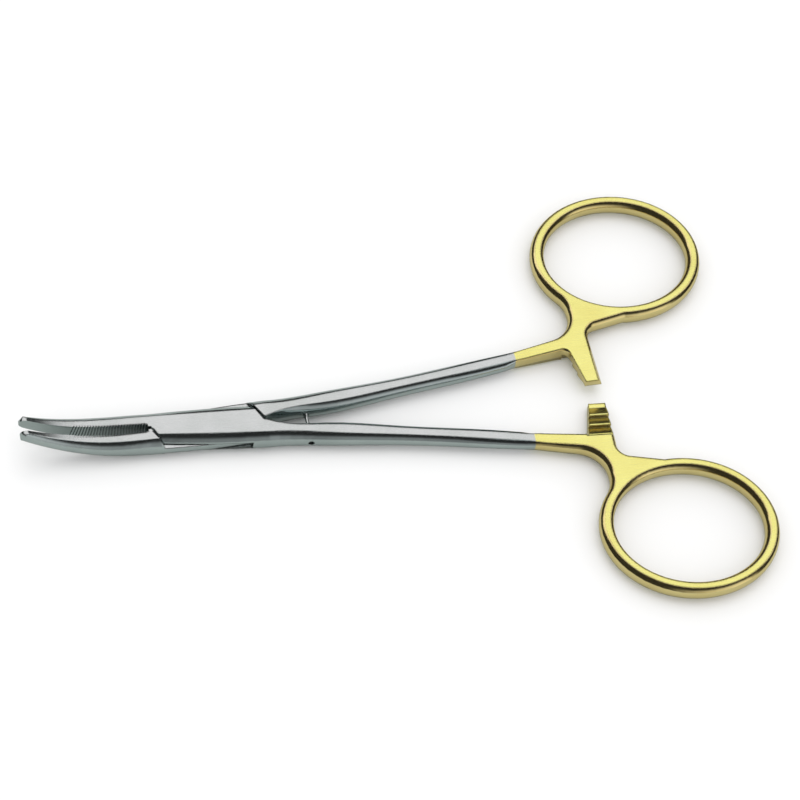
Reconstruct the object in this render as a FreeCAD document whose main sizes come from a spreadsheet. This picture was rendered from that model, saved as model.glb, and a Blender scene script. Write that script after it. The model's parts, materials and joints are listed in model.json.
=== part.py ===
"""Curved box-lock forceps with finger rings, a thumb ratchet and an eye-clearing needle.

Two crossing forgings share one box lock: the tongue of one half passes through a slot
in the other half and turns on a riveted pin. Both halves are drawn closed, with the
jaws pointing along -X and the rings along +X, and are then turned apart about the pin
to the resting angle. Lengths are in millimetres, angles in degrees.
"""
import FreeCAD, Part
import math
import os
import Sketcher

Vec = FreeCAD.Vector
UP = Vec(0, 0, 1)
CLOSE = 1e-6

# Driving dimensions: alias, value, what it is
SIZES = [
    ("rest_opening", 3.6, "angle between the halves at rest, from tips meeting"),
    ("box_thick", 4.3, "thickness of the box lock"),
    ("box_front_flat", 3.5, "width of the flat top of the box lock at its front end"),
    ("box_rear_flat", 4.5, "width of the flat top of the box lock at its rear end"),
    ("box_front_bulge", 1.3, "how far each rounded side of the box stands out, in front"),
    ("box_mid_bulge", 1.65, "how far each rounded side of the box stands out, at the pin"),
    ("box_rear_bulge", 1.52, "how far each rounded side of the box stands out, behind"),
    ("box_step", 5.0, "greatest spacing of the sections along the box"),
    ("box_skew", 0.2, "sideways shift of both ends of the box towards jaw and shank"),
    ("box_reach", 10.0, "half the length of the box lock"),
    ("tongue_thick", 1.4, "thickness of the tongue in the slot"),
    ("slot_play", 0.06, "gap above and below the tongue"),
    ("lock_gap", 0.06, "gap between the shoulders and walls of the lock when closed"),
    ("lock_tip", 9.5, "distance from the pin to the inner end of each shoulder"),
    ("lock_side", 7.2, "distance from the pin to a shoulder, on the side of the box"),
    ("lock_width", 4.0, "half width at which lock_side is measured"),
    ("lock_far", 6.0, "half width of the cuts that form the lock, outside the box"),
    ("pin_radius", 1.3, "radius of the pivot pin"),
    ("pin_play", 0.05, "radial gap of the pin in the tongue"),
    ("jaw_hollow", 0.37, "distance of a jaw face from the middle plane, at the box"),
    ("jaw_touch", 0.02, "distance of a jaw face from the middle plane, at the tip"),
    ("jaw_bend", 34.8, "radius of the upward curve of the jaws"),
    ("jaw_bend_start", 14.0, "distance from the pin to where that curve starts"),
    ("jaw_reach", 31.6, "length from the pin to the tip, along the curve"),
    ("jaw_tip_thick", 2.0, "thickness of the tip"),
    ("jaw_mid_thick", 3.0, "thickness of the jaws at mid length"),
    ("jaw_tip_flat", 0.6, "width of the flat top at the tip"),
    ("jaw_mid_flat", 1.2, "width of the flat top at mid length"),
    ("jaw_tip_bulge", 0.45, "rounding of the outer side at the tip"),
    ("jaw_mid_bulge", 1.12, "rounding of the outer side at mid length"),
    ("jaw_nose", 1.3, "rounding of the end of a jaw, seen from above"),
    ("jaw_step", 3.6, "greatest spacing of the sections along a jaw"),
    ("groove_pitch", 0.47, "spacing of the cross grooves on the jaw faces"),
    ("groove_depth", 0.2, "depth of the cross grooves"),
    ("cut_beyond", 1.0, "how far the cutters of the grooves pass the surface"),
    ("groove_first", 10.6, "distance from the pin to the first groove"),
    ("groove_last", 22.4, "distance from the pin to the last groove"),
    ("root_bulge_in", 0.01, "rounding of the inner side at the root of a shank"),
    ("neck_reach", 13.5, "distance from the pin to the neck of a shank"),
    ("neck_in", 1.1, "inner edge of the flat at the neck"),
    ("neck_flat", 1.3, "width of the flat at the neck"),
    ("neck_thick", 4.0, "thickness at the neck"),
    ("neck_bulge_in", 0.7, "rounding of the inner side at the neck"),
    ("neck_bulge", 1.55, "rounding of the outer side at the neck"),
    ("shank_step", 3.0, "greatest spacing of the sections along a shank"),
    ("throat_reach", 20.0, "distance from the pin to the throat of a shank"),
    ("throat_in", 1.6, "inner edge of the flat at the throat"),
    ("throat_flat", 1.48, "width of the flat at the throat"),
    ("throat_thick", 3.6, "thickness at the throat"),
    ("throat_bulge_in", 1.1, "rounding of the inner side at the throat"),
    ("throat_bulge", 1.35, "rounding of the outer side at the throat"),
    ("waist_reach", 33.0, "distance from the pin to the waist of a shank"),
    ("waist_in", 3.14, "inner edge of the flat at the waist"),
    ("waist_flat", 1.24, "width of the flat at the waist"),
    ("waist_thick", 2.95, "thickness at the waist"),
    ("waist_bulge", 1.05, "rounding of each side at the waist"),
    ("wrist_reach", 45.0, "distance from the pin to the wrist of a shank"),
    ("wrist_in", 4.6, "inner edge of the flat at the wrist"),
    ("wrist_flat", 1.27, "width of the flat at the wrist"),
    ("wrist_thick", 2.78, "thickness at the wrist"),
    ("wrist_bulge", 1.0, "rounding of each side at the wrist"),
    ("handle_start", 22.35, "start of the handle, ahead of the middle of the ring"),
    ("handle_in", 6.2, "inner edge of the unground handle at its start"),
    ("handle_flat", 1.13, "width of the unground flat at the start of the handle"),
    ("handle_slope", 0.205, "rise of the outer edge of the handle per unit of length"),
    ("handle_slope_in", 0.126, "rise of the inner edge of the handle per unit of length"),
    ("handle_lead", 1.0, "length that the handle is drawn too long, before it is cut"),
    ("handle_thick", 2.66, "ground thickness at the start of the handle"),
    ("ring_thick", 3.4, "thickness of the rings"),
    ("ring_flat", 0.95, "width of the flat top of a ring"),
    ("ring_bulge", 0.8, "rounding of each side of a ring"),
    ("bulge_sink", 0.3, "how deep the rounded sides of the handle reach into its plate"),
    ("ring_reach", 78.35, "distance from the pin to the middle of a ring, along X"),
    ("ring_out", 25.6, "distance from the middle plane to the middle of a ring"),
    ("ring_long", 13.75, "half the length of a finger hole, at its edge"),
    ("ring_wide", 11.65, "half the width of a finger hole, at its edge"),
    ("ring_tilt", 1.0, "turn of the long axis of a ring"),
    ("grind_start", 1.0, "from the start of the handle to where its ground flats rise"),
    ("grind_end", 8.5, "from the start of the handle to where they reach the ring thickness"),
    ("web_front", 11.05, "front edge of the web, ahead of the middle of the ring"),
    ("web_front_round", 6.0, "hollow between the shank and the ring"),
    ("web_back_low", 11.45, "height of the back corner of the web"),
    ("web_back_round", 3.0, "hollow between the ring and the ratchet arm"),
    ("arm_end", 0.45, "how far a ratchet arm passes the middle plane when closed"),
    ("arm_front_root", 13.6, "front edge of a ratchet arm at its root, ahead of the ring"),
    ("arm_front_end", 12.05, "front edge of a ratchet arm at its end, ahead of the ring"),
    ("arm_back", 10.15, "back edge of a ratchet arm, ahead of the middle of the ring"),
    ("arm_round", 1.5, "hollow between the shank and the ratchet arm"),
    ("arm_root", 7.1, "distance from the middle plane to the wall behind the teeth"),
    ("arm_recess", 14.45, "front end of the recess behind the teeth, ahead of the ring"),
    ("tooth_land", 0.9, "plain land at the end of a ratchet arm"),
    ("tooth_pitch", 2.0, "spacing of the ratchet teeth"),
    ("tooth_ramp", 1.6, "length of the sloping side of a tooth"),
    ("tooth_crest", 0.25, "height of the teeth over the middle of the thickness"),
    ("tooth_floor", 0.35, "depth of the notches under the middle of the thickness"),
    ("tooth_count", 3, "number of teeth on each arm"),
    ("needle_reach", 17.0, "distance from the pin to the needle"),
    ("needle_radius", 0.3, "radius of the needle"),
    ("needle_base", 0.5, "radius of the seat of the needle"),
    ("needle_seat", 2.3, "inner end of the seat in the shank"),
    ("needle_cone", 0.1, "outer end of the cone at the foot of the needle"),
    ("needle_tip", 3.2, "how far the tip passes the middle plane when closed"),
    ("needle_hole", 0.52, "radius of the hole that the needle enters"),
    ("needle_lead", 0.13, "shift of that hole away from the pin"),
]

doc = FreeCAD.newDocument("forceps")
sheet = doc.addObject("Spreadsheet::Sheet", "Sizes")
for row, (alias, value, note) in enumerate(SIZES, start=1):
    sheet.set(f"A{row}", note)
    sheet.set(f"B{row}", str(value))
    sheet.setAlias(f"B{row}", alias)
doc.recompute()


def size(alias):
    """Value of one driving dimension."""
    return float(sheet.get(alias))


def ahead_of_ring(alias):
    """Place along X of something that is measured ahead of the middle of the ring."""
    return size("ring_reach") - size(alias)


# Rounded bars: a flat top and bottom with bulging sides
def bar_section(along, inner, flat, thick, bulge_in, bulge_out):
    """Closed outline across a bar that runs along X, at the place `along`."""
    half = thick / 2
    outer = inner + flat
    corners = [Vec(along, inner, half), Vec(along, outer, half)]
    corners += [Vec(along, outer, -half), Vec(along, inner, -half)]
    top = Part.makeLine(corners[0], corners[1])
    side = Part.Arc(corners[1], Vec(along, outer + bulge_out, 0), corners[2]).toShape()
    bottom = Part.makeLine(corners[2], corners[3])
    back = Part.Arc(corners[3], Vec(along, inner - bulge_in, 0), corners[0]).toShape()
    return Part.Wire([top, side, bottom, back])


def between(stations, spacing):
    """Stations on smooth curves through the given ones, evenly spaced in each gap."""
    curves = []
    for column in range(1, len(stations[0])):
        curve = Part.BSplineCurve()
        curve.interpolate(
            Points=[Vec(station[0], station[column], 0) for station in stations],
            Parameters=[station[0] for station in stations])
        curves.append(curve)
    filled = []
    for start, end in zip(stations, stations[1:]):
        steps = math.ceil((end[0] - start[0]) / spacing)
        for step in range(steps):
            along = start[0] + (end[0] - start[0]) * step / steps
            filled.append([along] + [curve.value(along).y for curve in curves])
    return filled + [list(stations[-1])]


def make_shank(handle):
    """Shank from the box to the end face of the handle, on the +Y side."""
    root_inner = size("lock_gap")
    root_flat = size("box_rear_flat") / 2 + size("box_skew") - root_inner
    joint = min(handle.Faces, key=lambda face: face.BoundBox.XMax)
    stations = [
        (size("box_reach"), root_inner, root_flat,
         size("box_thick"), size("root_bulge_in"), size("box_rear_bulge")),
        (size("neck_reach"), size("neck_in"), size("neck_flat"),
         size("neck_thick"), size("neck_bulge_in"), size("neck_bulge")),
        (size("throat_reach"), size("throat_in"), size("throat_flat"),
         size("throat_thick"), size("throat_bulge_in"), size("throat_bulge")),
        (size("waist_reach"), size("waist_in"), size("waist_flat"),
         size("waist_thick"), size("waist_bulge"), size("waist_bulge")),
        (size("wrist_reach"), size("wrist_in"), size("wrist_flat"),
         size("wrist_thick"), size("wrist_bulge"), size("wrist_bulge")),
        (ahead_of_ring("handle_start"), size("handle_in"), size("handle_flat"),
         size("handle_thick"), size("ring_bulge"), size("ring_bulge")),
    ]
    before_handle = between(stations, size("shank_step"))[:-1]
    sections = [bar_section(*station) for station in before_handle]
    return Part.makeLoft(sections + [joint.OuterWire], True, True)


def make_box():
    """Barrel-shaped block of the lock with its jaw end on the +Y side, before the lock is cut."""
    stations = []
    for along, side, flat, bulge in (
            (-size("box_reach"), 1, size("box_front_flat"), size("box_front_bulge")),
            (0.0, 0, (size("box_front_flat") + size("box_rear_flat")) / 2,
             size("box_mid_bulge")),
            (size("box_reach"), -1, size("box_rear_flat"), size("box_rear_bulge"))):
        inner = side * size("box_skew") - flat / 2
        stations.append((along, inner, flat, size("box_thick"), bulge, bulge))
    sections = [bar_section(*station) for station in between(stations, size("box_step"))]
    return Part.makeLoft(sections, True, True)


# Jaws: flat inner face, rounded outer side, curved upwards
def jaw_point(distance, depth, across):
    """Point `distance` from the pin along the curved top, `depth` under it."""
    start = size("jaw_bend_start")
    turn = max(0.0, distance - start) / size("jaw_bend")
    radius = size("jaw_bend") + depth
    centre_height = size("box_thick") / 2 + size("jaw_bend")
    return Vec(-min(distance, start) - radius * math.sin(turn), across,
               centre_height - radius * math.cos(turn))


def jaw_section(distance, inner, flat, thick, bulge):
    """Closed outline across a jaw of the +Y side."""
    outer = inner + flat
    low_inner = jaw_point(distance, thick, inner)
    high_inner = jaw_point(distance, 0, inner)
    high_outer = jaw_point(distance, 0, outer)
    low_outer = jaw_point(distance, thick, outer)
    crown = jaw_point(distance, thick / 2, outer + bulge)
    return Part.Wire([
        Part.makeLine(low_inner, high_inner),
        Part.makeLine(high_inner, high_outer),
        Part.Arc(high_outer, crown, low_outer).toShape(),
        Part.makeLine(low_outer, low_inner),
    ])


def jaw_face_at(distance):
    """Distance of the jaw face from the middle plane."""
    middle = (size("box_reach") + size("jaw_reach")) / 2
    hollow_end = (size("box_reach") + middle) / 2
    tip_start = (middle + size("jaw_reach")) / 2
    part = (distance - hollow_end) / (tip_start - hollow_end)
    part = min(1.0, max(0.0, part))
    return size("jaw_hollow") + part * (size("jaw_touch") - size("jaw_hollow"))


def make_jaw():
    """Jaw of the +Y side, with its rounded end and its grooves."""
    root = size("box_reach")
    middle = (root + size("jaw_reach")) / 2
    root_flat = size("box_front_flat") / 2 + size("box_skew") - size("jaw_hollow")
    stations = [
        (root, root_flat, size("box_thick"), size("box_front_bulge")),
        (middle, size("jaw_mid_flat"), size("jaw_mid_thick"), size("jaw_mid_bulge")),
        (size("jaw_reach"), size("jaw_tip_flat"), size("jaw_tip_thick"),
         size("jaw_tip_bulge")),
    ]
    sections = [jaw_section(along, jaw_face_at(along), *rest)
                for along, *rest in between(stations, size("jaw_step"))]
    blank = Part.makeLoft(sections, True, False)
    return blank.common(nose_space()).cut(make_grooves())


def nose_space():
    """Space that rounds the end of the jaw of the +Y side, from the side and from above."""
    reach = size("jaw_reach")
    half = size("jaw_tip_thick") / 2
    wide = size("box_thick")
    spaces = []
    for round_radius, depth, axis in (
            (half, half, Vec(0, 1, 0)),
            (size("jaw_nose"), half, jaw_point(reach, 0, 0) - jaw_point(reach, wide, 0))):
        centre = jaw_point(reach - round_radius, depth, size("jaw_touch"))
        ahead = jaw_point(reach, depth, size("jaw_touch")) - centre
        axis.normalize()
        ahead.normalize()
        across = ahead.cross(axis)
        nose = Part.makeCylinder(round_radius, 2 * wide, centre - axis * wide, axis)
        corners = [centre + across * reach, centre - across * reach,
                   centre - across * reach - ahead * 2 * reach,
                   centre + across * reach - ahead * 2 * reach]
        corners = [corner - axis * reach for corner in corners]
        behind = Part.Face(Part.makePolygon(corners + corners[:1])).extrude(axis * 2 * reach)
        spaces.append(behind.fuse(nose))
    return spaces[0].common(spaces[1])


def make_grooves():
    """Cross grooves of the +Y jaw face: upright V cuts, square to the curve."""
    depth = size("groove_depth")
    clear = size("cut_beyond")
    count = int((size("groove_last") - size("groove_first")) / size("groove_pitch")) + 1
    grooves = []
    for number in range(count):
        distance = size("groove_first") + number * size("groove_pitch")
        floor = jaw_face_at(distance) + depth
        spread = depth + clear
        corners = [
            jaw_point(distance, -clear, floor),
            jaw_point(distance - spread, -clear, floor - spread),
            jaw_point(distance + spread, -clear, floor - spread),
        ]
        low = jaw_point(distance, size("box_thick") + clear, floor) - corners[0]
        triangle = Part.Face(Part.makePolygon(corners + corners[:1]))
        grooves.append(triangle.extrude(low))
    return grooves


# Handles: one forged plate holds the ring, the web and the ratchet arm
def ring_disc(grow, thick):
    """Elliptical disc of the finger hole, grown by `grow`."""
    ellipse = Part.Ellipse(Vec(0, 0, 0), size("ring_long") + grow, size("ring_wide") + grow)
    disc = Part.Face(Part.Wire(ellipse.toShape())).extrude(Vec(0, 0, thick))
    disc.rotate(Vec(0, 0, 0), UP, size("ring_tilt"))
    disc.translate(Vec(size("ring_reach"), size("ring_out"), -thick / 2))
    return disc


def upright_edge(shape, along, across):
    """The upright edge of a plate nearest to a place in plan."""
    def distance(edge):
        middle = edge.CenterOfMass
        return math.hypot(middle.x - along, middle.y - across)
    upright = [edge for edge in shape.Edges
               if len(edge.Vertexes) == 2
               and abs(abs(edge.tangentAt(edge.FirstParameter).z) - 1) < CLOSE]
    return min(upright, key=distance)


def handle_plate():
    """Flat plate in the outline of the handle, on the +Y side."""
    thick = size("ring_thick")
    lead = size("handle_lead")
    start = ahead_of_ring("handle_start") - lead
    start_in = size("handle_in") - size("handle_slope_in") * lead
    start_out = size("handle_in") + size("handle_flat") - size("handle_slope") * lead
    front = ahead_of_ring("web_front")
    front_low = start_out + size("handle_slope") * (front - start)
    root = ahead_of_ring("arm_front_root")
    root_low = start_in + size("handle_slope_in") * (root - start)
    end = -size("arm_end")
    back = ahead_of_ring("arm_back")
    hole_low = size("ring_out") - size("ring_wide")
    ring_low = hole_low - size("ring_flat")
    ring_half_way = size("ring_out") - size("ring_wide") / 2
    corners = [
        (start, start_in), (start, start_out), (front, front_low),
        (front, ring_half_way), (size("ring_reach"), ring_half_way),
        (size("ring_reach"), (ring_low + hole_low) / 2),
        (back, size("web_back_low")), (back, end),
        (ahead_of_ring("arm_front_end"), end), (root, root_low),
    ]
    points = [Vec(x, y, -thick / 2) for x, y in corners]
    web = Part.Face(Part.makePolygon(points + points[:1])).extrude(Vec(0, 0, thick))
    plate = web.fuse(ring_disc(size("ring_flat"), thick)).removeSplitter()
    hollows = [
        ((front, front_low), size("web_front_round")),
        ((back, size("web_back_low")), size("web_back_round")),
        ((root, root_low), size("arm_round")),
    ]
    for (along, across), radius in hollows:
        plate = plate.makeFillet(radius, [upright_edge(plate, along, across)])
    join = upright_edge(plate, front, ring_half_way)
    plate = plate.makeFillet(size("web_front_round"), [join])
    return plate


def bulge_profile(start, outward):
    """Outline of a rounded side, standing at `start` and facing `outward`."""
    half = size("ring_thick") / 2
    sink = size("bulge_sink")
    inside = start - outward * sink
    crown = start + outward * size("ring_bulge")
    rise = UP * half
    return Part.Wire([
        Part.makeLine(inside - rise, start - rise),
        Part.Arc(start - rise, crown, start + rise).toShape(),
        Part.makeLine(start + rise, inside + rise),
        Part.makeLine(inside + rise, inside - rise),
    ])


def sweep_bulge(path, outward_turn):
    """Rounded side along a flat path; `outward_turn` is +1 for left of the path."""
    first = path.OrderedEdges[0]
    start = path.OrderedVertexes[0].Point
    parameter = first.getParameterByLength(0.0)
    tangent = first.tangentAt(parameter)
    if first.Orientation == "Reversed":
        parameter = first.getParameterByLength(first.Length)
        tangent = first.tangentAt(parameter)
    outward = UP.cross(tangent) * outward_turn
    builder = Part.BRepOffsetAPI.MakePipeShell(path)
    builder.setBiNormalMode(UP)
    builder.add(bulge_profile(start, outward))
    builder.build()
    builder.makeSolid()
    return builder.shape()


def make_handle():
    """Ring, web and ratchet arm of the +Y side, with rounded sides and ground flats."""
    plate = handle_plate()
    half = size("ring_thick") / 2
    top = max(plate.Faces, key=lambda face: face.CenterOfMass.z)
    outline = [edge.translated(UP * -half) for edge in top.OuterWire.OrderedEdges]

    def is_cut_end(edge):
        box = edge.BoundBox
        at_start = box.XMax < ahead_of_ring("handle_start") - size("handle_lead") + CLOSE
        at_end = box.YMax < -size("arm_end") + CLOSE
        return at_start or at_end
    chains = Part.sortEdges([edge for edge in outline if not is_cut_end(edge)])
    sides = [Part.Wire(chain) for chain in chains]
    hole = ring_disc(0, size("ring_thick"))
    hole_rim = max(hole.Faces, key=lambda face: face.CenterOfMass.z).OuterWire
    sides.append(hole_rim.translated(UP * -half))
    solid = plate.cut(hole)
    for path in sides:
        solid = solid.fuse(outer_bulge(path, plate, hole))
    return solid.removeSplitter().common(ground_envelope())


def outer_bulge(path, plate, hole):
    """Rounded side along a path, on the side where there is no plate."""
    first = path.OrderedEdges[0]
    middle_parameter = (first.FirstParameter + first.LastParameter) / 2
    middle = first.valueAt(middle_parameter)
    across = UP.cross(first.tangentAt(middle_parameter))
    if first.Orientation == "Reversed":
        across = across * -1
    aside = middle + across * size("bulge_sink")
    solid_here = plate.isInside(aside, CLOSE, True) and not hole.isInside(aside, CLOSE, True)
    return sweep_bulge(path, -1 if solid_here else 1)


def ground_envelope():
    """Space between the ground flats of a handle, seen from the side."""
    low = size("handle_thick") / 2
    start = ahead_of_ring("handle_start")
    knee = start + size("grind_start")
    rise = size("ring_thick") / 2 - low
    slope = rise / (size("grind_end") - size("grind_start"))
    far = size("ring_reach") + 2 * size("ring_long")
    high = low + slope * (far - knee)
    wide = size("ring_out") + 2 * size("ring_long")
    corners = [(start, low), (knee, low), (far, high)]
    corners += [(x, -z) for x, z in reversed(corners)]
    points = [Vec(x, -wide, z) for x, z in corners]
    return Part.Face(Part.makePolygon(points + points[:1])).extrude(Vec(0, 2 * wide, 0))


def mirrored(shape):
    """The same shape on the other side of the middle plane."""
    return shape.mirror(Vec(0, 0, 0), Vec(0, 1, 0))


# Forgings: jaw, box, shank and handle of one half, before the lock is cut
jaw = make_jaw()
box = make_box()
handle = make_handle()
arm = make_shank(handle).fuse(handle).removeSplitter()


def add_forging(name, shapes):
    """Document object that holds one rough half."""
    forging = doc.addObject("Part::Feature", name)
    forging.Shape = shapes[0].fuse(shapes[1:]).removeSplitter()
    return forging


female_forging = add_forging("female_forging", [jaw, box, mirrored(arm)])
male_forging = add_forging("male_forging", [mirrored(jaw), mirrored(box), arm])


# Machining: pockets in each forging, drawn in sketches whose sizes are in the sheet
def origin_plane(body, role):
    """One of a body's own origin planes."""
    return next(item for item in body.Origin.OriginFeatures if item.Role == role)


def new_sketch(body, name, role):
    """Empty sketch on an origin plane of its own body."""
    sketch = body.newObject("Sketcher::SketchObject", name)
    sketch.AttachmentSupport = [(origin_plane(body, role), "")]
    sketch.MapMode = "FlatFace"
    return sketch


def pin_point(sketch, geometry, point, across, up):
    """Tie a point of a sketch to two formulas of the sheet."""
    for kind, formula in (("DistanceX", across), ("DistanceY", up)):
        value = float(sketch.evalExpression(formula))
        number = sketch.addConstraint(Sketcher.Constraint(kind, -1, 1, geometry, point, value))
        sketch.setExpression(f"Constraints[{number}]", formula)


def draw_polygon(sketch, corners):
    """Closed polygon whose corners are pairs of formulas."""
    places = [Vec(float(sketch.evalExpression(across)), float(sketch.evalExpression(up)), 0)
              for across, up in corners]
    count = len(places)
    first = sketch.GeometryCount
    for number in range(count):
        following = places[(number + 1) % count]
        sketch.addGeometry(Part.LineSegment(places[number], following), False)
    for number in range(count):
        following = first + (number + 1) % count
        sketch.addConstraint(Sketcher.Constraint("Coincident", first + number, 2, following, 1))
    for number, (across, up) in enumerate(corners):
        pin_point(sketch, first + number, 1, across, up)


def draw_circle(sketch, across, up, radius):
    """Circle whose centre and radius are formulas."""
    centre = Vec(float(sketch.evalExpression(across)), float(sketch.evalExpression(up)), 0)
    value = float(sketch.evalExpression(radius))
    number = sketch.addGeometry(Part.Circle(centre, UP, value), False)
    pin_point(sketch, number, 3, across, up)
    constraint = sketch.addConstraint(Sketcher.Constraint("Radius", number, value))
    sketch.setExpression(f"Constraints[{constraint}]", radius)


def cut_pocket(body, name, sketch, through=True, length=None, reverse=False):
    """Pocket of a sketch: through all both ways, or to a length."""
    pocket = body.newObject("PartDesign::Pocket", name)
    pocket.Profile = sketch
    pocket.Type = 1 if through else 0
    pocket.Midplane = through
    pocket.Reversed = reverse
    if length:
        pocket.setExpression("Length", length)
    return pocket


FAR = "Sizes.lock_far"
SLANT = "(Sizes.lock_tip - Sizes.lock_side) / Sizes.lock_width"
WALL_FAR = f"(Sizes.lock_tip - {FAR} * {SLANT})"
BEYOND = "(Sizes.box_reach + Sizes.lock_gap)"
RECESS = "Sizes.ring_reach - Sizes.arm_recess"


def lock_band(shift, side):
    """Corners of the six-sided space between two slanting shoulders of the lock.

    `side` is +1 where the band leans to +Y at the front, and `shift` moves both
    shoulders away from the pin.
    """
    tip = f"(Sizes.lock_tip + {shift})"
    wall = f"({WALL_FAR} + {shift})"
    lean = f"{side} * {FAR}"
    back = f"{-side} * {FAR}"
    return [
        (f"-{tip}", "0 * Sizes.lock_tip"), (f"-{wall}", lean), (BEYOND, lean),
        (tip, "0 * Sizes.lock_tip"), (wall, back), (f"-{BEYOND}", back),
    ]


def lock_wedges(shift, side):
    """Corners of the two pieces of the box that lie outside such a band."""
    tip = f"(Sizes.lock_tip + {shift})"
    wall = f"({WALL_FAR} + {shift})"
    lean = f"{side} * {FAR}"
    back = f"{-side} * {FAR}"
    return [
        [(f"-{tip}", "0 * Sizes.lock_tip"), (f"-{wall}", lean), (f"-{BEYOND}", lean),
         (f"-{BEYOND}", "0 * Sizes.lock_tip")],
        [(tip, "0 * Sizes.lock_tip"), (wall, back), (BEYOND, back),
         (BEYOND, "0 * Sizes.lock_tip")],
    ]


def new_half(name, forging):
    """Body that starts from a forging."""
    body = doc.addObject("PartDesign::Body", name)
    body.Label = name
    body.BaseFeature = forging
    return body


def cut_ratchet(body, side):
    """Recess and teeth of a ratchet arm; `side` is +1 for teeth that face up."""
    plane = new_sketch(body, "ratchet_recess_outline", "YZ_Plane")
    plane.setExpression("AttachmentOffset.Base.z", RECESS)
    crest = f"{side} * Sizes.tooth_crest"
    high = f"{side} * Sizes.ring_thick"
    draw_polygon(plane, [
        (f"{-side} * Sizes.arm_root", crest),
        (f"{side} * (Sizes.arm_end + Sizes.ring_flat)", crest),
        (f"{side} * (Sizes.arm_end + Sizes.ring_flat)", high),
        (f"{-side} * Sizes.arm_root", high),
    ])
    wide = "Sizes.arm_recess - Sizes.arm_back + 2 * Sizes.ring_bulge"
    cut_pocket(body, "ratchet_recess", plane, False, wide, True)
    land = new_sketch(body, "ratchet_land_outline", "YZ_Plane")
    land.setExpression("AttachmentOffset.Base.z", RECESS)
    floor = f"{-side} * Sizes.tooth_floor"
    draw_polygon(land, [
        (f"{side} * (Sizes.arm_end - Sizes.tooth_land)", floor),
        (f"{side} * (Sizes.arm_end + Sizes.ring_flat)", floor),
        (f"{side} * (Sizes.arm_end + Sizes.ring_flat)", high),
        (f"{side} * (Sizes.arm_end - Sizes.tooth_land)", high),
    ])
    cut_pocket(body, "ratchet_land", land, False, wide, True)
    notch = new_sketch(body, "ratchet_notch_outline", "YZ_Plane")
    notch.setExpression("AttachmentOffset.Base.z", RECESS)
    foot = f"{side} * (Sizes.arm_end - Sizes.tooth_land)"
    draw_polygon(notch, [
        (foot, floor),
        (f"{foot} + {side} * (Sizes.tooth_pitch - Sizes.tooth_ramp)", high),
        (f"{foot} - {side} * Sizes.tooth_ramp", crest),
    ])
    pocket = cut_pocket(body, "ratchet_notch", notch, False, wide, True)
    doc.recompute()
    teeth = body.newObject("PartDesign::LinearPattern", "ratchet_teeth")
    teeth.Originals = [pocket]
    teeth.Direction = (notch, ["H_Axis"])
    teeth.Reversed = side > 0
    teeth.setExpression("Length", "Sizes.tooth_pitch * (Sizes.tooth_count - 1)")
    teeth.setExpression("Occurrences", "Sizes.tooth_count")
    body.Tip = teeth
    doc.recompute()


def machine_female():
    """Half that holds the box: +Y jaw, slot, -Y shank and the lower ratchet arm."""
    body = new_half("female_half", female_forging)
    for number, corners in enumerate(lock_wedges("0 * Sizes.lock_gap", -1), start=1):
        outline = new_sketch(body, f"shoulder_outline_{number}", "XY_Plane")
        draw_polygon(outline, corners)
        cut_pocket(body, f"shoulder_{number}", outline)
    slot_outline = new_sketch(body, "slot_outline", "XY_Plane")
    draw_polygon(slot_outline, lock_band("0 * Sizes.lock_gap", 1))
    slot = cut_pocket(body, "slot", slot_outline, False,
                      "Sizes.tongue_thick + 2 * Sizes.slot_play")
    slot.Midplane = True
    bore_outline = new_sketch(body, "pin_hole_outline", "XY_Plane")
    draw_circle(bore_outline, "0 * Sizes.pin_radius", "0 * Sizes.pin_radius",
                "Sizes.pin_radius")
    cut_pocket(body, "pin_hole", bore_outline)
    eye_outline = new_sketch(body, "needle_hole_outline", "XZ_Plane")
    draw_circle(eye_outline, "Sizes.needle_reach + Sizes.needle_lead",
                "0 * Sizes.needle_radius", "Sizes.needle_hole")
    cut_pocket(body, "needle_hole", eye_outline)
    doc.recompute()
    cut_ratchet(body, 1)
    return body


def machine_male():
    """Half that holds the tongue: -Y jaw, tongue, +Y shank and the upper ratchet arm."""
    body = new_half("male_half", male_forging)
    for number, corners in enumerate(lock_wedges("-Sizes.lock_gap", 1), start=1):
        outline = new_sketch(body, f"wall_outline_{number}", "XY_Plane")
        draw_polygon(outline, corners)
        cut_pocket(body, f"wall_{number}", outline)
    for face, side in (("upper", 1), ("lower", -1)):
        outline = new_sketch(body, f"{face}_cheek_outline", "XY_Plane")
        outline.setExpression("AttachmentOffset.Base.z", f"{side} * Sizes.tongue_thick / 2")
        draw_polygon(outline, lock_band("Sizes.lock_gap", -1))
        cut_pocket(body, f"{face}_cheek", outline, False, "Sizes.box_thick", side > 0)
    bore_outline = new_sketch(body, "pin_bore_outline", "XY_Plane")
    draw_circle(bore_outline, "0 * Sizes.pin_radius", "0 * Sizes.pin_radius",
                "Sizes.pin_radius + Sizes.pin_play")
    cut_pocket(body, "pin_bore", bore_outline)
    seat_outline = new_sketch(body, "needle_seat_outline", "XZ_Plane")
    draw_circle(seat_outline, "Sizes.needle_reach", "0 * Sizes.needle_radius",
                "Sizes.needle_base")
    cut_pocket(body, "needle_seat", seat_outline, False, "Sizes.needle_seat")
    doc.recompute()
    cut_ratchet(body, -1)
    return body


def make_pin():
    """Riveted pin, ground flush with both faces of the box."""
    body = doc.addObject("PartDesign::Body", "pivot_pin")
    body.Label = "pivot_pin"
    outline = new_sketch(body, "pin_outline", "XY_Plane")
    draw_circle(outline, "0 * Sizes.pin_radius", "0 * Sizes.pin_radius", "Sizes.pin_radius")
    shaft = body.newObject("PartDesign::Pad", "pin_shaft")
    shaft.Profile = outline
    shaft.Midplane = True
    shaft.setExpression("Length", "Sizes.box_thick")
    return body


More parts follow.
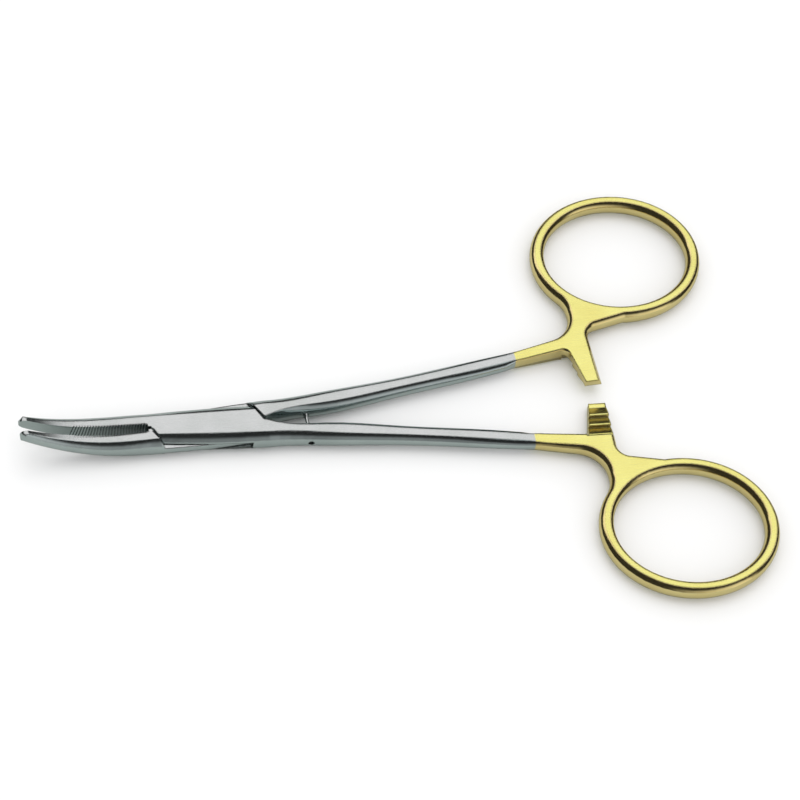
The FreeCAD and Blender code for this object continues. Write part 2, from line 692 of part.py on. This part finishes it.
def make_needle():
    """Needle with a conical foot, turned as one piece and pressed into the male half."""
    body = doc.addObject("PartDesign::Body", "eye_needle")
    body.Label = "eye_needle"
    outline = new_sketch(body, "needle_outline", "XY_Plane")
    along = "Sizes.needle_reach"
    draw_polygon(outline, [
        (along, "Sizes.needle_seat"),
        (f"{along} + Sizes.needle_base", "Sizes.needle_seat"),
        (f"{along} + Sizes.needle_base", "Sizes.needle_base + Sizes.needle_cone"),
        (f"{along} + Sizes.needle_radius", "-Sizes.needle_cone"),
        (f"{along} + Sizes.needle_radius", "-Sizes.needle_tip + 3 * Sizes.needle_radius"),
        (f"{along} + Sizes.needle_radius / 4", "-Sizes.needle_tip"),
        (along, "-Sizes.needle_tip"),
    ])
    turned = body.newObject("PartDesign::Revolution", "needle_turned")
    turned.Profile = outline
    turned.ReferenceAxis = (outline, ["Edge7"])
    turned.Angle = 360
    return body


female_half = machine_female()
male_half = machine_male()
pivot_pin = make_pin()
eye_needle = make_needle()
doc.recompute()

# Resting place: the underside of the box lies at the height of the origin
lift = Vec(0, 0, size("box_thick") / 2)
half_turn = size("rest_opening") / 2
female_half.Placement = FreeCAD.Placement(lift, FreeCAD.Rotation(UP, -half_turn))
male_half.Placement = FreeCAD.Placement(lift, FreeCAD.Rotation(UP, half_turn))
pivot_pin.Placement = FreeCAD.Placement(lift, FreeCAD.Rotation(UP, -half_turn))
eye_needle.Placement = FreeCAD.Placement(lift, FreeCAD.Rotation(UP, half_turn))
doc.recompute()

for item in doc.Objects:
    if "Invalid" in item.State or "Error" in item.State:
        raise RuntimeError(f"{item.Name} failed: {item.State}")

os.makedirs("parts", exist_ok=True)
for part in (female_half, male_half, pivot_pin, eye_needle):
    shape = part.Shape
    if shape.isNull() or not shape.isValid() or len(shape.Solids) != 1:
        raise RuntimeError(f"{part.Label} is not one sound solid")
    shape.exportStep(f"parts/{part.Label}.step")
    box_size = shape.BoundBox
    print(part.Label, "volume", round(shape.Volume, 2), "faces", len(shape.Faces),
          "x", round(box_size.XMin, 2), round(box_size.XMax, 2),
          "y", round(box_size.YMin, 2), round(box_size.YMax, 2),
          "z", round(box_size.ZMin, 2), round(box_size.ZMax, 2))
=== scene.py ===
"""Looks of the curved box-lock forceps: satin steel, gold plating and a pale studio."""
import json
import logging
import math
from dataclasses import dataclass, field
from enum import Enum

import bpy
from mathutils import Matrix, Vector

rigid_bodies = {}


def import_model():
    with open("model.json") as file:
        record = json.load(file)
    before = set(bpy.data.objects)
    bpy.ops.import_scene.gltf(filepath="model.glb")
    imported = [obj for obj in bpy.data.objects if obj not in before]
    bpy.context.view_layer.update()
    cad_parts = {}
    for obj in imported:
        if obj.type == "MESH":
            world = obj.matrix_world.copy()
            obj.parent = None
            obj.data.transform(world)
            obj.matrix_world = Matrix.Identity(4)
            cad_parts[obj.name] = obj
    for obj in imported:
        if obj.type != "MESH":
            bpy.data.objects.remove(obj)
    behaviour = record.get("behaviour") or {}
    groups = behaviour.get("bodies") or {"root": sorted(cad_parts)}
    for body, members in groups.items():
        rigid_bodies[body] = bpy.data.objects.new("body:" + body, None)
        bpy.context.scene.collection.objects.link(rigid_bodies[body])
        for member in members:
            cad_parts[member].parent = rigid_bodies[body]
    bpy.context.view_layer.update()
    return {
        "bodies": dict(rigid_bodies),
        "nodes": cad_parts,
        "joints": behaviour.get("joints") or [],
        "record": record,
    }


log = logging.getLogger("forceps")

Socket = bpy.types.NodeSocket
Colour = tuple[float, float, float]
Span = tuple[float, float]

MM = 0.001
HALF_OPENING = math.radians(1.8)
PHOTO_HEADING = math.radians(20.73)
WHITE: Colour = (1.0, 1.0, 1.0)


class Side(Enum):
    """Which way a half lies from the middle plane, seen from its rings."""

    FEMALE = -1
    MALE = 1


@dataclass(frozen=True)
class Steel:
    """Stainless steel: satin flats with a fine grind, polished sides; the flats' colour is
    a painted highlight, the sides' darker, cooler colour is painted shade.
    """

    # painted highlight on the flats, painted shade on the sides: lit and shaded copies of
    # one steel
    flat: Colour = (0.67, 0.68, 0.68)
    lit_flat_worn: Colour = (0.60, 0.62, 0.61)
    side: Colour = (0.52, 0.585, 0.58)
    shaded_side_worn: Colour = (0.46, 0.52, 0.515)
    flat_rough: Span = (0.20, 0.30)
    side_rough: Span = (0.13, 0.20)


@dataclass(frozen=True)
class GoldPlate:
    """Gold plating over the same steel: the flats' pale lemon is a painted highlight, the
    sides' deeper colour is painted shade.
    """

    # painted highlight on the flats, painted shade on the sides: lit and shaded copies of
    # one gold
    flat: Colour = (0.96, 0.90, 0.31)
    lit_flat_worn: Colour = (0.91, 0.83, 0.27)
    side: Colour = (0.95, 0.79, 0.36)
    shaded_side_worn: Colour = (0.88, 0.71, 0.30)
    start: float = 55.0 * MM
    blur: float = 0.12 * MM


@dataclass(frozen=True)
class Grain:
    """Noise of the surface: grinding lines, dulled clouds and fine specks."""

    grind_stretch: tuple[float, float, float] = (260.0, 9000.0, 5200.0)
    grind_detail: float = 3.0
    cloud_scale: float = 160.0
    cloud_detail: float = 2.0
    speck_scale: float = 5200.0
    speck_detail: float = 1.0
    wear_range: Span = (0.35, 0.7)
    streak_range: Span = (0.3, 0.7)
    flat_range: Span = (0.86, 0.97)
    relief_strength: float = 0.12
    relief_depth: float = 0.01 * MM


@dataclass(frozen=True)
class CreviceShade:
    """Painted shade: darker colour deep in the piece's own grooves, holes and slots."""

    reach: float = 0.6 * MM
    tone: float = 0.2
    open_range: Span = (0.3, 0.85)
    samples: int = 8


@dataclass(frozen=True)
class PolishedEdge:
    """Edges broken by polishing, but not round the flush pin or on the serrations."""

    radius: float = 0.45 * MM
    samples: int = 8
    flush_radius: float = 1.9 * MM
    grip_depth: float = 0.4 * MM
    grip_end: float = -8.0 * MM


@dataclass(frozen=True)
class Buffing:
    """Upper and lower borders of the handle's sides, buffed round but for the arms."""

    middle_height: float = 2.15 * MM
    half_height: float = 1.7 * MM
    wrist_span: Span = (42.0 * MM, 52.0 * MM)
    wrist_lean: float = 2.2
    ring_span: Span = (60.0 * MM, 67.0 * MM)
    ring_lean: float = 1.0
    arm_front: Span = (61.5 * MM, 63.0 * MM)
    arm_root: Span = (5.6 * MM, 6.6 * MM)


class NodeSheet:
    """A material's node tree with short helpers to add and join its nodes."""

    def __init__(self, name: str) -> None:
        """Start an empty tree with its output.

        Args:
            name: name of the material.
        """
        self.material = bpy.data.materials.new(name)
        self.material.use_nodes = True
        self.tree = self.material.node_tree
        self.tree.nodes.clear()
        self.output = self.tree.nodes.new("ShaderNodeOutputMaterial")

    def add(self, kind: str, **settings: object) -> bpy.types.Node:
        """Add a node and set its own options.

        Args:
            kind: the node's type name.
            settings: option names and values.

        Returns:
            The new node.
        """
        node = self.tree.nodes.new(kind)
        for name, value in settings.items():
            setattr(node, name, value)
        return node

    def join(self, source: Socket | float, target: Socket) -> None:
        """Join an output to an input, or set the input where a number is given."""
        if isinstance(source, Socket):
            self.tree.links.new(source, target)
        else:
            target.default_value = source

    def finish(self, shader: bpy.types.Node) -> bpy.types.Material:
        """Lead a shader to the output.

        Args:
            shader: the material's last shader node.

        Returns:
            The finished material.
        """
        self.join(shader.outputs[0], self.output.inputs["Surface"])
        return self.material

    def math(self, operation: str, *values: Socket | float) -> Socket:
        """Add a Math node.

        Args:
            operation: the Math node's operation.
            values: numbers or sockets for its inputs.

        Returns:
            The node's output.
        """
        node = self.add("ShaderNodeMath", operation=operation)
        for number, value in enumerate(values):
            self.join(value, node.inputs[number])
        return node.outputs[0]

    def vector(self, operation: str, *values: Socket | Colour) -> bpy.types.Node:
        """Add a Vector Math node.

        Args:
            operation: the node's operation.
            values: vectors or sockets for its inputs.

        Returns:
            The node.
        """
        node = self.add("ShaderNodeVectorMath", operation=operation)
        for number, value in enumerate(values):
            self.join(value, node.inputs[number])
        return node

    def parts(self, vector: Socket) -> bpy.types.bpy_prop_collection:
        """X, Y and Z of a vector, as the outputs of a node."""
        node = self.add("ShaderNodeSeparateXYZ")
        self.join(vector, node.inputs["Vector"])
        return node.outputs

    def mapping(self, vector: Socket, turn: float = 0.0,
                scale: tuple[float, float, float] = (1.0, 1.0, 1.0)) -> Socket:
        """Scale a vector and turn it about Z.

        Args:
            vector: the vector.
            turn: angle about Z.
            scale: factor on each axis.

        Returns:
            The mapped vector.
        """
        node = self.add("ShaderNodeMapping", vector_type="POINT")
        node.inputs["Rotation"].default_value = (0.0, 0.0, turn)
        node.inputs["Scale"].default_value = scale
        self.join(vector, node.inputs["Vector"])
        return node.outputs["Vector"]

    def noise(self, vector: Socket, scale: tuple[float, float, float],
              detail: float) -> Socket:
        """Noise with its own scale on each axis.

        Args:
            vector: position.
            scale: waves per metre along, across and up.
            detail: octaves of detail.

        Returns:
            The noise's value.
        """
        node = self.add("ShaderNodeTexNoise")
        node.inputs["Scale"].default_value = 1.0
        node.inputs["Detail"].default_value = detail
        self.join(self.mapping(vector, scale=scale), node.inputs["Vector"])
        return node.outputs["Fac"]

    def ramp(self, value: Socket, low: float, high: float,
             start: float = 0.0, end: float = 1.0, smooth: bool = False) -> Socket:
        """Map a value from one range to another, held at both ends.

        Args:
            value: what is mapped.
            low: value that gives start.
            high: value that gives end.
            start: result at low.
            end: result at high.
            smooth: ease in and out.

        Returns:
            The mapped value.
        """
        node = self.add("ShaderNodeMapRange",
                        interpolation_type="SMOOTHSTEP" if smooth else "LINEAR")
        for name, number in (("Value", value), ("From Min", low), ("From Max", high),
                             ("To Min", start), ("To Max", end)):
            self.join(number, node.inputs[name])
        return node.outputs["Result"]

    def mix(self, kind: str, factor: Socket | float, first: object, second: object,
            **settings: object) -> Socket:
        """Add a Mix node for colours or vectors.

        Args:
            kind: RGBA or VECTOR.
            factor: 0 for the first value, 1 for the second.
            first: value or socket.
            second: value or socket.
            settings: more options of the Mix node.

        Returns:
            The mixed value.
        """
        node = self.add("ShaderNodeMix", data_type=kind, **settings)
        self.join(factor, node.inputs["Factor"])
        for name, value in (("A", first), ("B", second)):
            socket = next(s for s in node.inputs if s.name == name and s.type == kind)
            self.join(value, socket)
        return next(s for s in node.outputs if s.type == kind)

    def blend(self, factor: Socket | float, first: Socket | Colour,
              second: Socket | Colour, mode: str = "MIX") -> Socket:
        """Mix two colours.

        Args:
            factor: 0 for the first colour, 1 for the second.
            first: colour or socket.
            second: colour or socket.
            mode: the Mix node's blend type.

        Returns:
            The mixed colour.
        """
        ends = [c if isinstance(c, Socket) else (*c, 1.0) for c in (first, second)]
        return self.mix("RGBA", factor, *ends, blend_type=mode)


@dataclass
class MetalFinish:
    """Ground and polished metal of one half; a plated handle if it is asked for."""

    name: str
    side: Side = Side.FEMALE
    plated: bool = True
    steel: Steel = field(default_factory=Steel)
    gold: GoldPlate = field(default_factory=GoldPlate)
    grain: Grain = field(default_factory=Grain)
    # painted shade in the piece's own grooves, holes and slots
    crevice_shade: CreviceShade = field(default_factory=CreviceShade)
    edge: PolishedEdge = field(default_factory=PolishedEdge)
    buffing: Buffing = field(default_factory=Buffing)

    def build(self) -> bpy.types.Material:
        """Build the material.

        Returns:
            The finished material.
        """
        sheet, grain = NodeSheet(self.name), self.grain
        place = sheet.add("ShaderNodeTexCoord").outputs["Object"]
        along = sheet.mapping(place, -self.side.value * HALF_OPENING)
        grind = sheet.noise(along, grain.grind_stretch, grain.grind_detail)
        cloud = sheet.noise(along, (grain.cloud_scale,) * 3, grain.cloud_detail)
        speck = sheet.noise(along, (grain.speck_scale,) * 3, grain.speck_detail)
        level = self.flatness(sheet)
        shader = sheet.add("ShaderNodeBsdfPrincipled")
        shader.inputs["Metallic"].default_value = 1.0
        sheet.join(self.colour(sheet, along, cloud, speck, level),
                   shader.inputs["Base Color"])
        sheet.join(self.roughness(sheet, level, grind, speck), shader.inputs["Roughness"])
        normal = self.buffed(sheet, along, self.polished(sheet, along), level)
        sheet.join(self.relief(sheet, grind, level, normal), shader.inputs["Normal"])
        return sheet.finish(shader)

    def colour(self, sheet: NodeSheet, along: Socket, cloud: Socket, speck: Socket,
               level: Socket) -> Socket:
        """Colour of the steel and of the plating, with painted shade in crevices and the
        flats painted lighter than the sides.

        Args:
            sheet: the material's node tree.
            along: position, turned to the half.
            cloud: slow noise that dulls the metal in places.
            speck: fine noise for the plating's edge.
            level: 1 on the flats, 0 on the sides.

        Returns:
            The colour.
        """
        wear = sheet.ramp(cloud, *self.grain.wear_range)
        colour = self.tone(sheet, self.steel, wear, level)
        if self.plated:
            gold = self.tone(sheet, self.gold, wear, level)
            colour = sheet.blend(self.plating(sheet, along, speck), colour, gold)
        # painted shade: the colour is darkened where ambient occlusion finds the piece's
        # own grooves, holes and slots
        dark = sheet.blend(self.unshaded(sheet), (self.crevice_shade.tone,) * 3, WHITE)
        return sheet.blend(1.0, colour, dark, "MULTIPLY")

    def tone(self, sheet: NodeSheet, metal: Steel | GoldPlate, wear: Socket,
             level: Socket) -> Socket:
        """Colour of a metal: a lighter pair of tones on the flats as a painted highlight, a
        darker pair on the sides as painted shade.

        Args:
            sheet: the material's node tree.
            metal: the metal's tones.
            wear: 0 on fresh metal, 1 where it is dulled.
            level: 1 on the flats, 0 on the sides.

        Returns:
            The metal's colour.
        """
        # painted highlight on the flats, painted shade on the sides; the worn tones vary at
        # random
        flats = sheet.blend(wear, metal.flat, metal.lit_flat_worn)
        sides = sheet.blend(wear, metal.side, metal.shaded_side_worn)
        return sheet.blend(level, sides, flats)

    def flatness(self, sheet: NodeSheet) -> Socket:
        """1 on the ground flats that face up or down, 0 on the polished sides; it also
        splits the flats' painted highlight from the sides' painted shade.
        """
        normal = sheet.add("ShaderNodeNewGeometry").outputs["True Normal"]
        height = sheet.math("ABSOLUTE", sheet.parts(normal)["Z"])
        return sheet.ramp(height, *self.grain.flat_range)

    def plating(self, sheet: NodeSheet, along: Socket, speck: Socket) -> Socket:
        """1 on the plated handle, 0 on bare steel, with a fine uneven edge."""
        gold = self.gold
        ragged = sheet.math("MULTIPLY_ADD", speck, 2.0 * gold.blur, sheet.parts(along)["X"])
        return sheet.ramp(ragged, gold.start, gold.start + 2.0 * gold.blur, smooth=True)

    def roughness(self, sheet: NodeSheet, level: Socket, grind: Socket,
                  speck: Socket) -> Socket:
        """Roughness: streaked on the flats, even and low on the sides."""
        flats = sheet.ramp(grind, *self.grain.streak_range, *self.steel.flat_rough)
        sides = sheet.ramp(speck, *self.grain.streak_range, *self.steel.side_rough)
        spread = sheet.math("SUBTRACT", flats, sides)
        return sheet.math("MULTIPLY_ADD", spread, level, sides)

    def unshaded(self, sheet: NodeSheet) -> Socket:
        """Mask of the painted crevice shade: 0 deep in the piece's own grooves, holes and
        slots, 1 on open surfaces.
        """
        shade = sheet.add("ShaderNodeAmbientOcclusion", samples=self.crevice_shade.samples,
                          only_local=True)
        shade.inputs["Distance"].default_value = self.crevice_shade.reach
        return sheet.ramp(shade.outputs["AO"], *self.crevice_shade.open_range)

    def polished(self, sheet: NodeSheet, along: Socket) -> Socket:
        """The surface normal, rounded over the edges that polishing broke.

        Args:
            sheet: the material's node tree.
            along: position, turned to the half.

        Returns:
            The normal.
        """
        edge, place = self.edge, sheet.parts(along)
        rounded = sheet.add("ShaderNodeBevel", samples=edge.samples)
        rounded.inputs["Radius"].default_value = edge.radius
        plain = sheet.add("ShaderNodeNewGeometry")
        plan = sheet.vector("MULTIPLY", along, (1.0, 1.0, 0.0)).outputs["Vector"]
        reach = sheet.vector("LENGTH", plan).outputs["Value"]
        away = sheet.math("GREATER_THAN", reach, edge.flush_radius)
        aside = sheet.math("ABSOLUTE", place["Y"])
        grip = sheet.math("MULTIPLY", sheet.math("LESS_THAN", aside, edge.grip_depth),
                          sheet.math("LESS_THAN", place["X"], edge.grip_end))
        away = sheet.math("MULTIPLY", away, sheet.math("SUBTRACT", 1.0, grip))
        return sheet.mix("VECTOR", away, plain.outputs["Normal"], rounded.outputs["Normal"])

    def buffed(self, sheet: NodeSheet, along: Socket, normal: Socket,
               level: Socket) -> Socket:
        """The normal, leaning up or down towards the borders of the handle's sides.

        Args:
            sheet: the material's node tree.
            along: position, turned to the half.
            normal: surface normal.
            level: 1 on the flats, 0 on the sides.

        Returns:
            The normal with the lean.
        """
        buff, place = self.buffing, sheet.parts(along)
        height = sheet.ramp(place["Z"], buff.middle_height - buff.half_height,
                            buff.middle_height + buff.half_height, -1.0, 1.0)
        cube = sheet.math("MULTIPLY", sheet.math("MULTIPLY", height, height), height)
        wrist = sheet.ramp(place["X"], *buff.wrist_span, 0.0, buff.wrist_lean)
        fall = sheet.ramp(place["X"], *buff.ring_span, 0.0,
                          buff.wrist_lean - buff.ring_lean)
        amount = sheet.math("MULTIPLY", sheet.math("SUBTRACT", wrist, fall),
                            sheet.math("SUBTRACT", 1.0, level))
        before = sheet.ramp(place["X"], *buff.arm_front, 1.0, 0.0)
        beside = sheet.ramp(sheet.math("ABSOLUTE", place["Y"]), *buff.arm_root)
        amount = sheet.math("MULTIPLY", amount, sheet.math("MAXIMUM", before, beside))
        rise = sheet.add("ShaderNodeCombineXYZ")
        sheet.join(sheet.math("MULTIPLY", cube, amount), rise.inputs["Z"])
        total = sheet.vector("ADD", normal, rise.outputs["Vector"])
        return sheet.vector("NORMALIZE", total.outputs["Vector"]).outputs["Vector"]

    def relief(self, sheet: NodeSheet, grind: Socket, level: Socket,
               normal: Socket) -> Socket:
        """Very shallow grinding lines on the flats, on top of the given normal."""
        bump = sheet.add("ShaderNodeBump")
        bump.inputs["Strength"].default_value = self.grain.relief_strength
        bump.inputs["Distance"].default_value = self.grain.relief_depth
        sheet.join(normal, bump.inputs["Normal"])
        sheet.join(sheet.math("MULTIPLY", grind, level), bump.inputs["Height"])
        return bump.outputs["Normal"]


@dataclass
class ForcepsHalf:
    """One forging and the small part fixed in it, which show as they were made."""

    side: Side
    forging: str
    forging_metal: str
    fitting: str
    fitting_metal: str

    def build(self, frame: dict) -> list[bpy.types.Object]:
        """Give the half's two nodes their metal.


        Returns:
            The dressed objects.
        """
        return [
            self.dress(frame, self.forging, MetalFinish(self.forging_metal, self.side)),
            self.dress(frame, self.fitting,
                       MetalFinish(self.fitting_metal, self.side, plated=False)),
        ]

    def dress(self, frame: dict, node: str, finish: MetalFinish) -> bpy.types.Object:
        """Give one node its material.

        Args:
            node: the node's name.
            finish: its finish.

        Returns:
            The dressed object.
        """
        solid = frame["nodes"][node]
        solid.data.materials.clear()
        solid.data.materials.append(finish.build())
        log.info("%s: %d faces, %s", node, len(solid.data.polygons), finish.name)
        return solid


@dataclass(frozen=True)
class PhotoCamera:
    """Camera that stands as it did for the photograph."""

    anchor: tuple[float, float, float] = (0.0, 0.0, 4.3 * MM)
    anchor_pixel: tuple[float, float] = (207.96, 422.32)
    focal_pixels: float = 2790.0
    pixels_per_metre: float = 6000.0
    frame_pixels: float = 800.0
    elevation: float = math.radians(55.51)
    roll: float = math.radians(-12.20)
    heading: float = PHOTO_HEADING
    sensor: float = 36.0
    clip: Span = (0.01, 20.0)

    def build(self) -> bpy.types.Object:
        """Place the camera.

        Returns:
            The camera object.
        """
        bpy.ops.object.camera_add()
        camera = bpy.context.object
        camera.name = "photo_camera"
        camera.data.sensor_width = self.sensor
        camera.data.lens = self.sensor * self.focal_pixels / self.frame_pixels
        camera.data.clip_start, camera.data.clip_end = self.clip
        aside = Vector((math.cos(self.heading), -math.sin(self.heading), 0.0))
        ahead = Vector((math.sin(self.heading), math.cos(self.heading), 0.0))
        high = Vector((0.0, 0.0, 1.0))
        rise = math.sin(self.elevation) * ahead + math.cos(self.elevation) * high
        look = math.cos(self.elevation) * ahead - math.sin(self.elevation) * high
        cosine, sine = math.cos(self.roll), math.sin(self.roll)
        right = cosine * aside - sine * rise
        up = sine * aside + cosine * rise
        middle = self.frame_pixels / 2
        shift_right = self.anchor_pixel[0] - middle
        shift_up = middle - self.anchor_pixel[1]
        offset = right * shift_right + up * shift_up + look * self.focal_pixels
        place = Vector(self.anchor) - offset / self.pixels_per_metre
        turn = Matrix((right, up, -look)).transposed()
        camera.matrix_world = Matrix.Translation(place) @ turn.to_4x4()
        bpy.context.scene.camera = camera
        log.info("camera at %s", tuple(round(value, 4) for value in place))
        return camera


@dataclass
class TableTop:
    """Pale matte floor under the instrument, with painted shade where the metal mirrors it,
    in place of the shadow round the instrument.
    """

    size: float = 6.0
    paint: Colour = (0.92, 0.92, 0.92)
    # painted shade: the floor's colour as the metal's reflections see it
    reflected_shade: Colour = (0.5, 0.52, 0.5)
    rough: float = 0.9

    def build(self) -> bpy.types.Object:
        """Build the floor.

        Returns:
            The floor object.
        """
        bpy.ops.mesh.primitive_plane_add(size=self.size, location=(0, 0, 0))
        floor = bpy.context.object
        floor.name = "studio_floor"
        sheet = NodeSheet("pale_floor")
        shader = sheet.add("ShaderNodeBsdfPrincipled")
        # painted shade: glossy rays see a darker floor than the camera does
        mirrored = sheet.add("ShaderNodeLightPath").outputs["Is Glossy Ray"]
        sheet.join(sheet.blend(mirrored, self.paint, self.reflected_shade),
                   shader.inputs["Base Color"])
        shader.inputs["Roughness"].default_value = self.rough
        shader.inputs["Specular IOR Level"].default_value = 0.0
        floor.data.materials.append(sheet.finish(shader))
        return floor


@dataclass
class Hood:
    """Dark hood with one large window, which only the metal's reflections show."""

    radius: float = 1.6
    segments: int = 96
    ring_count: int = 48
    heading: float = PHOTO_HEADING
    window_low: float = math.radians(37.0)
    window_high: float = math.radians(86.0)
    window_half: float = math.radians(70.0)
    dark: float = 0.03
    card_glow: float = 0.8
    card_right: Span = (0.08, 0.92)
    card_near: Span = (0.0, -0.3)
    card_top: Span = (0.8, 0.45)

    def build(self) -> bpy.types.Object:
        """Build the hood.

        Returns:
            The hood object.
        """
        bpy.ops.mesh.primitive_uv_sphere_add(segments=self.segments,
                                             ring_count=self.ring_count,
                                             radius=self.radius, location=(0, 0, 0))
        hood = bpy.context.object
        hood.name = "studio_hood"
        self.cut_window(hood)
        hood.data.materials.append(self.glow())
        hood.visible_camera = False
        hood.visible_diffuse = False
        hood.visible_shadow = False
        hood.visible_transmission = False
        return hood

    def cut_window(self, hood: bpy.types.Object) -> None:
        """Delete the lower half of the sphere and the faces of the window."""
        bpy.ops.object.mode_set(mode="EDIT")
        bpy.ops.mesh.select_all(action="DESELECT")
        bpy.ops.object.mode_set(mode="OBJECT")
        for face in hood.data.polygons:
            towards = face.center.normalized()
            height = math.asin(towards.z)
            aside = math.atan2(towards.x, towards.y) - self.heading
            open_high = self.window_low < height < self.window_high
            face.select = height < 0.0 or (open_high and abs(aside) < self.window_half)
        bpy.ops.object.mode_set(mode="EDIT")
        bpy.ops.mesh.delete(type="FACE")
        bpy.ops.object.mode_set(mode="OBJECT")

    def glow(self) -> bpy.types.Material:
        """Near black, with a bright card low on the right near side.

        Returns:
            The material.
        """
        sheet = NodeSheet("dark_hood")
        glow = sheet.add("ShaderNodeEmission")
        glow.inputs["Color"].default_value = (*WHITE, 1.0)
        place = sheet.add("ShaderNodeTexCoord").outputs["Object"]
        turned = sheet.mapping(place, self.heading, (1.0 / self.radius,) * 3)
        towards = sheet.parts(turned)
        right = sheet.ramp(towards["X"], *self.card_right)
        near = sheet.ramp(towards["Y"], *self.card_near, smooth=True)
        low = sheet.ramp(towards["Z"], *self.card_top, smooth=True)
        card = sheet.math("MULTIPLY", sheet.math("MULTIPLY", right, near), low)
        sheet.join(sheet.math("MULTIPLY_ADD", card, self.card_glow, self.dark),
                   glow.inputs["Strength"])
        return sheet.finish(glow)


@dataclass
class Lighting:
    """Even white world, and a large soft lamp overhead that the metal doesn't mirror."""

    world_strength: float = 1.0
    key_place: tuple[float, float, float] = (0.1, 0.25, 1.4)
    key_size: float = 1.2
    key_power: float = 4.0

    def build(self) -> bpy.types.Object:
        """Set the world and add the lamp.

        Returns:
            The lamp object.
        """
        world = bpy.data.worlds.new("white_surround")
        bpy.context.scene.world = world
        world.use_nodes = True
        nodes = world.node_tree.nodes
        nodes.clear()
        white = nodes.new("ShaderNodeBackground")
        white.inputs["Color"].default_value = (*WHITE, 1.0)
        white.inputs["Strength"].default_value = self.world_strength
        output = nodes.new("ShaderNodeOutputWorld")
        world.node_tree.links.new(white.outputs[0], output.inputs["Surface"])
        bpy.ops.object.light_add(type="AREA", location=self.key_place)
        key = bpy.context.object
        key.name = "key_lamp"
        key.data.shape = "DISK"
        key.data.size = self.key_size
        key.data.energy = self.key_power
        key.visible_glossy = False
        key.visible_camera = False
        return key


def main() -> None:
    """Dress the forceps, light them and place the camera."""
    logging.basicConfig(level=logging.INFO, format="%(name)s: %(message)s")
    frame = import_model()
    bpy.ops.object.select_all(action="DESELECT")
    for half in (
        ForcepsHalf(Side.FEMALE, "female_half", "female_metal", "pivot_pin", "pin_metal"),
        ForcepsHalf(Side.MALE, "male_half", "male_metal", "eye_needle", "needle_metal"),
    ):
        half.build(frame)
    for fitting in (TableTop(), Hood(), Lighting(), PhotoCamera()):
        log.info("%s: built", fitting.build().name)
    bpy.context.scene.view_settings.view_transform = "Standard"


if __name__ == "__main__":
    main()
